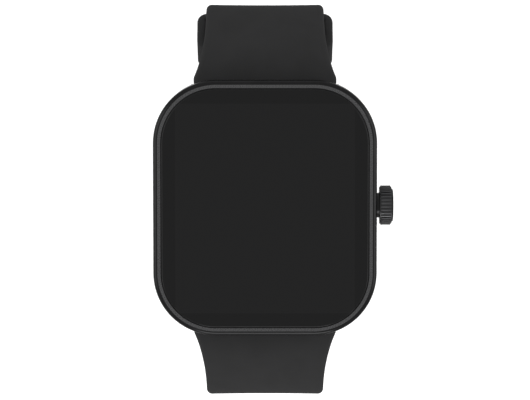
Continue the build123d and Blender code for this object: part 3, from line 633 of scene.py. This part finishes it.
CASE_TINT = (0.5, 0.5, 0.5, 1.0)
BUCKLE_TINT = (0.4, 0.4, 0.4, 1.0)
GROOVE_COLOUR = (0.016, 0.016, 0.0163)
SHADES = {
    "cover_glass": ((0.0035, 0.0035, 0.0036), (0.0052, 0.0052, 0.0053)),
    "case_side": ((0.014, 0.014, 0.0143), (0.020, 0.020, 0.0204)),
    "case_ring": ((0.068, 0.068, 0.069), (0.092, 0.092, 0.094)),
    "crown_tips": ((0.042, 0.042, 0.043), (0.064, 0.064, 0.066)),
    "strap_rubber": ((0.0236, 0.0236, 0.0239), (0.0256, 0.0256, 0.0260)),
    "buckle_metal": ((0.06, 0.06, 0.062), (0.1, 0.1, 0.1)),
    "steel": ((0.5, 0.5, 0.49), (0.6, 0.6, 0.59)),
    "gold": ((0.70, 0.48, 0.20), (0.84, 0.62, 0.30)),
    "rear_plastic": ((0.017, 0.017, 0.018), (0.024, 0.024, 0.025)),
    "black_plastic": ((0.028, 0.028, 0.029), (0.042, 0.042, 0.043)),
    "sensor_glass": ((0.004, 0.004, 0.005), (0.020, 0.008, 0.012)),
    "seal": ((0.004, 0.004, 0.004), (0.008, 0.008, 0.008)),
    "battery_film": ((0.30, 0.30, 0.32), (0.42, 0.42, 0.44)),
    "circuit_board": ((0.012, 0.075, 0.036), (0.030, 0.140, 0.062)),
    "emitter": ((0.50, 0.66, 0.42), (0.68, 0.82, 0.58)),
    "display_black": ((0.006, 0.006, 0.008), (0.013, 0.013, 0.015)),
}


class Paint:
    """One material's nodes, built round its Principled shader; noise scales are per metre."""

    def __init__(self, name, **sockets):
        self.material = bpy.data.materials.new(name + "_finish")
        self.material.use_nodes = True
        self.nodes = self.material.node_tree.nodes
        self.links = self.material.node_tree.links
        self.shader = self.nodes["Principled BSDF"]
        for socket, value in sockets.items():
            self.shader.inputs[socket.replace("_", " ")].default_value = value
        self.place = self.nodes.new("ShaderNodeTexCoord").outputs["Object"]
        self.last_bump = None

    def node(self, kind, inputs, **settings):
        """A new node; an input is a socket to link or a plain value."""
        made = self.nodes.new(kind)
        for name, value in settings.items():
            setattr(made, name, value)
        for key, value in inputs.items():
            if isinstance(value, bpy.types.NodeSocket):
                self.links.new(value, made.inputs[key])
            else:
                made.inputs[key].default_value = value
        return made

    def stretched(self, along):
        """The coordinates scaled along each axis, for drawn or wiped marks."""
        return self.node("ShaderNodeMapping", {"Vector": self.place, "Scale": along}).outputs[0]

    def noise(self, scale, detail=3.0, along=None, distortion=0.0):
        where = self.stretched(along) if along else self.place
        inputs = {"Vector": where, "Scale": scale, "Detail": detail, "Distortion": distortion}
        return self.node("ShaderNodeTexNoise", inputs).outputs[0]

    def cells(self, scale, feature="F1", along=None):
        where = self.stretched(along) if along else self.place
        inputs = {"Vector": where, "Scale": scale}
        return self.node("ShaderNodeTexVoronoi", inputs, feature=feature).outputs["Distance"]

    def coordinate(self, axis):
        return self.node("ShaderNodeSeparateXYZ", {"Vector": self.place}).outputs[axis]

    def span(self, value, start, end, low=0.0, high=1.0):
        """Smoothly maps a value from start..end to low..high."""
        inputs = {"Value": value, "From Min": start, "From Max": end, "To Min": low, "To Max": high}
        return self.node("ShaderNodeMapRange", inputs, interpolation_type="SMOOTHSTEP").outputs[0]

    def maths(self, operation, a, b=0.0):
        return self.node("ShaderNodeMath", {0: a, 1: b}, operation=operation).outputs[0]

    def hypotenuse(self, a, b):
        squares = self.maths("ADD", self.maths("MULTIPLY", a, a), self.maths("MULTIPLY", b, b))
        return self.maths("SQRT", squares)

    def shade(self, share, name):
        """Between the two colours of a name in SHADES."""
        return self.blend(share, *SHADES[name])

    def blend(self, share, a, b):
        """Colour a where the share is 0 and b where it is 1."""
        mix = self.node("ShaderNodeMix", {}, data_type="RGBA")
        for key, value in ((0, share), (6, a), (7, b)):
            if isinstance(value, bpy.types.NodeSocket):
                self.links.new(value, mix.inputs[key])
            else:
                mix.inputs[key].default_value = (*value, 1.0)
        return mix.outputs[2]

    def colour(self, socket):
        self.links.new(socket, self.shader.inputs["Base Color"])

    def rough(self, socket):
        self.links.new(socket, self.shader.inputs["Roughness"])

    def rough_over(self, noise, low, high, part=MIDDLE):
        """Roughness from low to high, over a part of a noise's values."""
        self.rough(self.span(noise, *part, low, high))

    def bump(self, height, depth, strength=1.0):
        """Adds a bump of a depth in metres on top of the last one."""
        inputs = {"Height": height, "Distance": depth, "Strength": strength}
        if self.last_bump:
            inputs["Normal"] = self.last_bump
        self.last_bump = self.node("ShaderNodeBump", inputs).outputs[0]
        self.links.new(self.last_bump, self.shader.inputs["Normal"])


def varied(name, scale, low, high, **sockets):
    """Slow patches of colour and roughness, as handling and moulding leave."""
    paint = Paint(name, **sockets)
    patches = paint.noise(scale, detail=4.0, distortion=0.4)
    paint.colour(paint.shade(paint.span(patches, *MIDDLE), name))
    fine = paint.noise(scale * FINE_SHARE, detail=2.0)
    paint.rough_over(paint.maths("ADD", patches, fine), low, high, TWO_NOISES)
    return paint


def streaked(name, scale, along, low, high, depth, **sockets):
    """Metal with fine marks one way, which set its colour, roughness and bump."""
    paint = Paint(name, Metallic=1.0, **sockets)
    marks = paint.noise(scale, detail=4.0, along=along)
    paint.colour(paint.shade(marks, name))
    paint.rough_over(marks, low, high)
    paint.bump(marks, depth, strength=0.5)
    return paint


def make_cover_glass():
    """Black-backed glass with a hardly visible viewing area, and faint wipe marks in its gloss."""
    paint = Paint("cover_glass", IOR=1.26)
    smears = paint.noise(160, detail=5.0, along=(1.0, 0.35, 1.0), distortion=1.2)
    paint.rough_over(smears, 0.02, 0.075, SMEARED)
    side = paint.maths("ABSOLUTE", paint.coordinate("X"))
    end = paint.maths("ABSOLUTE", paint.coordinate("Y"))
    inside_side = paint.span(side, VIEW_HALF_W - VIEW_FADE, VIEW_HALF_W, 1.0, 0.0)
    inside_end = paint.span(end, VIEW_HALF_L - VIEW_FADE, VIEW_HALF_L, 1.0, 0.0)
    view = paint.maths("MULTIPLY", inside_side, inside_end)
    paint.colour(paint.shade(view, "cover_glass"))
    paint.bump(paint.noise(90, detail=2.0), depth=0.002 * MM)
    return paint.material


def make_case_metal():
    """Black anodised aluminium: bead-blasted sides and a brushed ring round the glass."""
    paint = Paint("case_metal", Metallic=1.0, Specular_Tint=CASE_TINT)
    facing = paint.node("ShaderNodeNewGeometry", {}).outputs["Normal"]
    up = paint.node("ShaderNodeSeparateXYZ", {"Vector": facing}).outputs["Z"]
    high = paint.span(paint.coordinate("Z"), RING_Z - RING_DROP, RING_Z - RING_DROP / 2)
    top = paint.maths("MULTIPLY", paint.span(up, *RING_FACING), high)
    brushed = paint.noise(5200, detail=3.0, along=(1.0, 1.0, 0.1))
    blasted = paint.noise(9000, detail=2.0)
    patches = paint.noise(240, detail=4.0)
    side_colour = paint.shade(patches, "case_side")
    ring_colour = paint.shade(brushed, "case_ring")
    paint.colour(paint.blend(top, side_colour, ring_colour))
    side_rough = paint.span(blasted, *MIDDLE, 0.15, 0.22)
    ring_rough = paint.span(brushed, *MIDDLE, 0.22, 0.36)
    on_ring = paint.maths("MULTIPLY", top, ring_rough)
    on_side = paint.maths("MULTIPLY", paint.maths("SUBTRACT", 1.0, top), side_rough)
    paint.rough(paint.maths("ADD", on_ring, on_side))
    paint.bump(blasted, depth=0.006 * MM, strength=0.6)
    return paint.material


def make_crown_metal():
    """Black anodised aluminium with bright worn ridges and fine turning marks on its cap."""
    paint = Paint("crown_metal", Metallic=1.0, Specular_Tint=CASE_TINT)
    y = paint.maths("SUBTRACT", paint.coordinate("Y"), CROWN_Y)
    z = paint.maths("SUBTRACT", paint.coordinate("Z"), CROWN_Z)
    radius = paint.hypotenuse(y, z)
    tips = paint.span(radius, CROWN_R - GROOVE_DEPTH, CROWN_R - TIP_DEPTH)
    patches = paint.noise(700, detail=4.0)
    paint.colour(paint.blend(tips, GROOVE_COLOUR, paint.shade(patches, "crown_tips")))
    turned = paint.node("ShaderNodeTexNoise", {"W": radius, "Scale": 16000.0, "Detail": 2.0},
                        noise_dimensions="1D").outputs[0]
    paint.rough_over(turned, 0.24, 0.38)
    paint.bump(turned, depth=0.004 * MM, strength=0.5)
    return paint.material


def make_strap_rubber():
    """Moulded fluorocarbon rubber: matt and very finely grained."""
    paint = varied("strap_rubber", 210, 0.76, 0.9, IOR=1.05)
    paint.bump(paint.noise(11000, detail=3.0), depth=0.006 * MM, strength=0.55)
    paint.bump(paint.noise(900, detail=3.0), depth=0.008 * MM, strength=0.3)
    return paint.material


def make_buckle_metal():
    """Black-coated steel, drawn along its length, with brighter worn spots."""
    paint = Paint("buckle_metal", Metallic=1.0, Specular_Tint=BUCKLE_TINT)
    drawn = paint.noise(3600, detail=4.0, along=(0.05, 1.0, 1.0))
    wear = paint.span(paint.noise(1500, detail=5.0), *WORN)
    paint.colour(paint.shade(wear, "buckle_metal"))
    paint.rough_over(drawn, 0.22, 0.4)
    paint.bump(drawn, depth=0.006 * MM, strength=0.5)
    return paint.material


def make_steel():
    """Bare steel, drawn along X."""
    return streaked("steel", 4200, (0.06, 1.0, 1.0), 0.18, 0.36, depth=0.004 * MM).material


def make_gold():
    """Plated contacts with fine wipe marks from the charger's pins."""
    return streaked("gold", 3800, (1.0, 0.08, 1.0), 0.14, 0.34, depth=0.003 * MM).material


def make_rear_plastic():
    """Fine spark-eroded texture on a moulded cover."""
    paint = varied("rear_plastic", 260, 0.42, 0.58)
    paint.bump(paint.noise(7500, detail=4.0), depth=0.012 * MM, strength=0.7)
    return paint.material


def make_black_plastic():
    """Moulded plastic inside the case."""
    paint = varied("black_plastic", 420, 0.36, 0.52)
    paint.bump(paint.noise(5200, detail=3.0), depth=0.01 * MM, strength=0.5)
    return paint.material


def make_sensor_glass():
    """Dark tinted window over the heart sensor, with its clear eye and ring faintly seen."""
    paint = Paint("sensor_glass", IOR=1.52)
    radius = paint.hypotenuse(paint.coordinate("X"), paint.coordinate("Y"))
    eye = paint.span(radius, SENSOR_EYE_R, SENSOR_EYE_R + SENSOR_FADE, 1.0, 0.0)
    past_inner = paint.span(radius, SENSOR_RING_IN, SENSOR_RING_IN + SENSOR_FADE)
    before_outer = paint.span(radius, SENSOR_RING_OUT, SENSOR_RING_OUT + SENSOR_FADE, 1.0, 0.0)
    clear = paint.maths("MAXIMUM", eye, paint.maths("MULTIPLY", past_inner, before_outer))
    paint.colour(paint.shade(clear, "sensor_glass"))
    paint.rough_over(paint.noise(300, detail=5.0, distortion=1.0), 0.02, 0.09, SMEARED)
    paint.bump(paint.noise(150, detail=2.0), depth=0.002 * MM)
    return paint.material


def make_seal():
    """Soft black rubber of gaskets and rings."""
    paint = varied("seal", 600, 0.66, 0.84)
    paint.bump(paint.noise(6000, detail=3.0), depth=0.01 * MM, strength=0.6)
    return paint.material


def make_battery_film():
    """Crinkled foil pouch."""
    paint = varied("battery_film", 380, 0.26, 0.44, Metallic=0.6)
    paint.bump(paint.cells(900, along=(1.0, 0.6, 1.0)), depth=0.03 * MM, strength=0.4)
    return paint.material


def make_circuit_board():
    """Green solder mask over copper tracks."""
    paint = Paint("circuit_board")
    edges = paint.cells(1400, feature="DISTANCE_TO_EDGE")
    tracks = paint.span(edges, *TRACK_EDGE, 1.0, 0.0)
    paint.colour(paint.shade(tracks, "circuit_board"))
    paint.rough_over(paint.noise(2600), 0.28, 0.42)
    paint.bump(tracks, depth=0.02 * MM, strength=0.6)
    return paint.material


def make_emitter():
    """Clear resin over light sources, slightly cloudy."""
    paint = varied("emitter", 1800, 0.12, 0.26)
    paint.bump(paint.noise(2400), depth=0.01 * MM, strength=0.4)
    return paint.material


def make_display_black():
    """Display layers: glossy, with a fine grid of pixels."""
    paint = Paint("display_black")
    grid = paint.cells(11000)
    paint.colour(paint.shade(grid, "display_black"))
    paint.rough_over(paint.noise(500), 0.1, 0.2)
    paint.bump(grid, depth=0.002 * MM, strength=0.3)
    return paint.material


FINISHES = {
    "cover_glass": make_cover_glass(),
    "case_metal": make_case_metal(),
    "rear_plastic": make_rear_plastic(),
    "sensor_glass": make_sensor_glass(),
    "crown_metal": make_crown_metal(),
    "strap_rubber": make_strap_rubber(),
    "buckle_metal": make_buckle_metal(),
    "steel": make_steel(),
    "gold": make_gold(),
    "seal": make_seal(),
    "black_plastic": make_black_plastic(),
    "battery_film": make_battery_film(),
    "circuit_board": make_circuit_board(),
    "emitter": make_emitter(),
    "display_black": make_display_black(),
}


# ---------------------------------------------------------------- the watch's pieces
SOFTENED = {
    "buckle_frame": 0.22 * MM,
    "tongue": 0.15 * MM,
    "crown_head": 0.05 * MM,
    "charging_contacts": 0.12 * MM,
}
WELD_GAP = 0.001 * MM
EDGE_SEGMENTS = 3
EDGE_ANGLE = radians(35.0)


def finish_cad_nodes():
    """Each CAD node's material by its slot, and a small round on the edges of a few."""
    for name, piece in frame["nodes"].items():
        slot = piece.data.materials[0].name
        piece.data.materials[0] = FINISHES[slot]
        if name in SOFTENED:
            piece.modifiers.new("join", "WELD").merge_threshold = WELD_GAP
            edge = piece.modifiers.new("edge", "BEVEL")
            edge.width = SOFTENED[name]
            edge.segments = EDGE_SEGMENTS
            edge.limit_method = "ANGLE"
            edge.angle_limit = EDGE_ANGLE


finish_cad_nodes()
rubber = FINISHES["strap_rubber"]
make_straps(rubber)
make_keeper("fixed_keeper", "upper_strap", FIXED_POLAR, FIXED_HALF, 0.0, rubber)
make_keeper("free_keeper", "free_keeper", FREE_POLAR, FREE_HALF, KEEPER_GAP, rubber)
for side_name in ("upper", "lower"):
    make_bar_spring(side_name, FINISHES["steel"])
make_dome(FINISHES["steel"])


# ---------------------------------------------------------------- floor, light and camera
FLOOR_HALF = 12.0
FLOOR_GAP = 0.3 * MM
FLOOR_COLOUR = (0.9, 0.9, 0.9, 1.0)
FLOOR_ROUGH = 0.9
FLOOR_GLOW = 0.3
WHITE = (1.0, 1.0, 1.0, 1.0)
ZENITH = 0.85
HORIZON = 1.0
SKY_FADE = (0.2, 0.97)
SOFTBOXES = (  # name, place, size in metres, power in watts
    ("left_softbox", (-1.0, 0.1, 0.55), (1.0, 1.0), 5.0),
    ("right_softbox", (1.0, 0.1, 0.55), (1.0, 1.0), 5.0),
    ("front_strip", (0.0, -0.6, 0.30), (0.36, 0.34), 1.6),
)
CAMERA_DISTANCE = 470.0 * MM
CAMERA_TILT = radians(4.5)
CAMERA_TARGET = Vector((0.0, 1.58 * MM, RING_Z))
FRAME_WIDTH = 97.07 * MM
SENSOR_WIDTH = 36.0
CLIP_START = 0.05


def make_floor():
    """A white table that glows a little, lower than a strap reaches as it swings out."""
    paint = Paint("floor", Base_Color=FLOOR_COLOUR, Roughness=FLOOR_ROUGH, Emission_Color=WHITE,
                  Emission_Strength=FLOOR_GLOW)
    mesh = bpy.data.meshes.new("floor")
    bar_to_loop = sqrt(BAR_Y**2 + (BAR_Z - LOOP_Z) ** 2)
    z = BAR_Z - bar_to_loop - LOOP_R - LAYER - HALF_T - FLOOR_GAP
    corners = ((-1, -1), (1, -1), (1, 1), (-1, 1))
    spots = [(x * FLOOR_HALF, y * FLOOR_HALF, z) for x, y in corners]
    mesh.from_pydata(spots, [], [(0, 1, 2, 3)])
    mesh.materials.append(paint.material)
    floor = bpy.data.objects.new("floor", mesh)
    bpy.context.scene.collection.objects.link(floor)


def make_sky():
    """A studio tent: brighter towards the horizon than overhead."""
    world = bpy.data.worlds.new("tent")
    world.use_nodes = True
    bpy.context.scene.world = world
    nodes, links = world.node_tree.nodes, world.node_tree.links
    where = nodes.new("ShaderNodeTexCoord")
    split = nodes.new("ShaderNodeSeparateXYZ")
    links.new(where.outputs["Generated"], split.inputs[0])
    fade = nodes.new("ShaderNodeMapRange")
    ends = {"From Min": SKY_FADE[0], "From Max": SKY_FADE[1], "To Min": HORIZON, "To Max": ZENITH}
    for socket, value in ends.items():
        fade.inputs[socket].default_value = value
    links.new(split.outputs["Z"], fade.inputs["Value"])
    links.new(fade.outputs[0], nodes["Background"].inputs["Strength"])
    nodes["Background"].inputs["Color"].default_value = WHITE


def add_softbox(name, place, size, power, target):
    """A rectangular lamp that faces a target."""
    lamp = bpy.data.lights.new(name, "AREA")
    lamp.shape = "RECTANGLE"
    lamp.size, lamp.size_y = size
    lamp.energy = power
    box = bpy.data.objects.new(name, lamp)
    box.location = place
    box.rotation_mode = "QUATERNION"
    box.rotation_quaternion = (Vector(place) - target).to_track_quat("Z", "Y")
    bpy.context.scene.collection.objects.link(box)


def make_camera():
    """At the photo's angle: a little beyond twelve o'clock, looking down on the display."""
    data = bpy.data.cameras.new("camera")
    data.sensor_width = SENSOR_WIDTH
    data.lens = data.sensor_width * CAMERA_DISTANCE / FRAME_WIDTH
    data.clip_start = CLIP_START
    camera = bpy.data.objects.new("camera", data)
    back = Vector((0.0, sin(CAMERA_TILT), cos(CAMERA_TILT)))
    camera.location = CAMERA_TARGET + back * CAMERA_DISTANCE
    across = Vector((1.0, 0.0, 0.0))
    camera.rotation_mode = "QUATERNION"
    turn = Matrix((across, back.cross(across), back)).transposed()
    camera.rotation_quaternion = turn.to_quaternion()
    bpy.context.scene.collection.objects.link(camera)
    bpy.context.scene.camera = camera


make_floor()
make_sky()
for softbox in SOFTBOXES:
    add_softbox(*softbox, Vector((0.0, 0.0, RING_Z)))
make_camera()
bpy.context.scene.view_settings.view_transform = "Standard"
